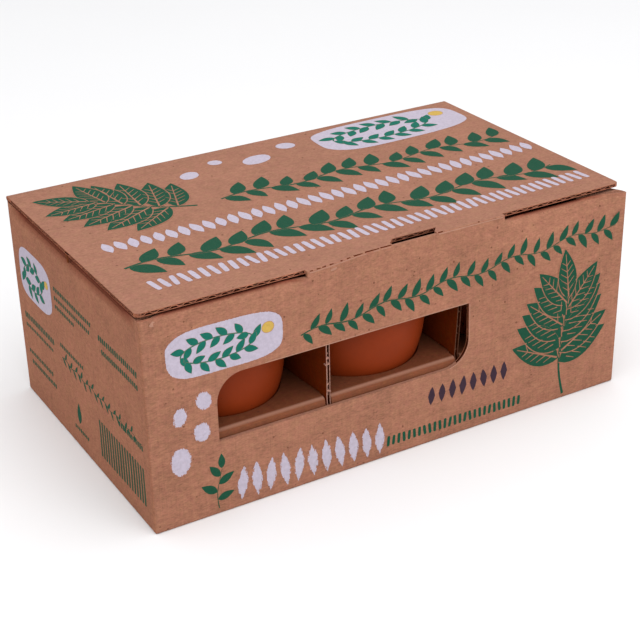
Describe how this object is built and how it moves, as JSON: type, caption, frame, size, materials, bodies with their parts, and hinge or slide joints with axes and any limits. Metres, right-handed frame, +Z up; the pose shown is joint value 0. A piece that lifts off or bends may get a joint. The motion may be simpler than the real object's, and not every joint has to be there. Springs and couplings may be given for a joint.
{
  "type": "egg carton with eggs",
  "caption": "Shut box of thin brown corrugated board with a front window, a shelf insert with dividers, and brown eggs standing in its holes.",
  "frame": {"origin": "middle of the base, at the height of the table", "axes": "+X along the long side, to the right as seen from the window side; +Y from the window side to the back; +Z up"},
  "size_m": [0.159, 0.096, 0.066],
  "materials": {
    "carton_board": "matt kraft liner",
    "insert_board": "matt kraft liner",
    "egg_shell": "smooth matt shell"
  },
  "bodies": {
    "root": {"carton": "carton_board", "insert": "insert_board", "divider_left": "insert_board", "divider_right": "insert_board", "egg_1": "egg_shell", "egg_2": "egg_shell", "egg_3": "egg_shell", "egg_4": "egg_shell", "egg_5": "egg_shell", "egg_6": "egg_shell"}
  },
  "joints": []
}
